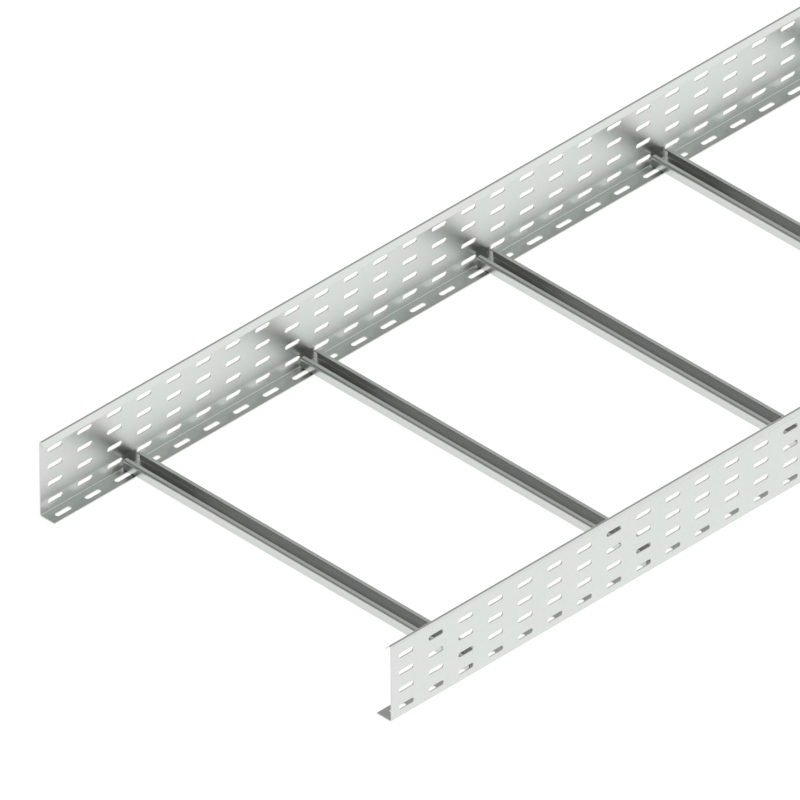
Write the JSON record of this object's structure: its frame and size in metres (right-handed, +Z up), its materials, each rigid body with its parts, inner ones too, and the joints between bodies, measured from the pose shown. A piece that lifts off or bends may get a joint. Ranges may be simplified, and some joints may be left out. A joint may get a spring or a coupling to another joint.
{
  "type": "cable ladder section",
  "caption": "Straight cable ladder section: slotted sheet-steel side rails with a folded flange and lip, joined by open C-profile rungs.",
  "frame": {"origin": "centre of the underside, midway between the rails and between the ends", "axes": "+X along the ladder, +Y across it towards the left rail, +Z up, from the flanges to the lips"},
  "size_m": [3, 0.6, 0.11],
  "materials": {
    "galvanised_rail": "strip-galvanised sheet, satin",
    "galvanised_rung": "strip-galvanised sheet, satin"
  },
  "bodies": {
    "root": {"side_rail_left": "galvanised_rail", "side_rail_right": "galvanised_rail", "rung_1": "galvanised_rung", "rung_2": "galvanised_rung", "rung_3": "galvanised_rung", "rung_4": "galvanised_rung", "rung_5": "galvanised_rung", "rung_6": "galvanised_rung", "rung_7": "galvanised_rung", "rung_8": "galvanised_rung", "rung_9": "galvanised_rung", "rung_10": "galvanised_rung"}
  },
  "joints": []
}
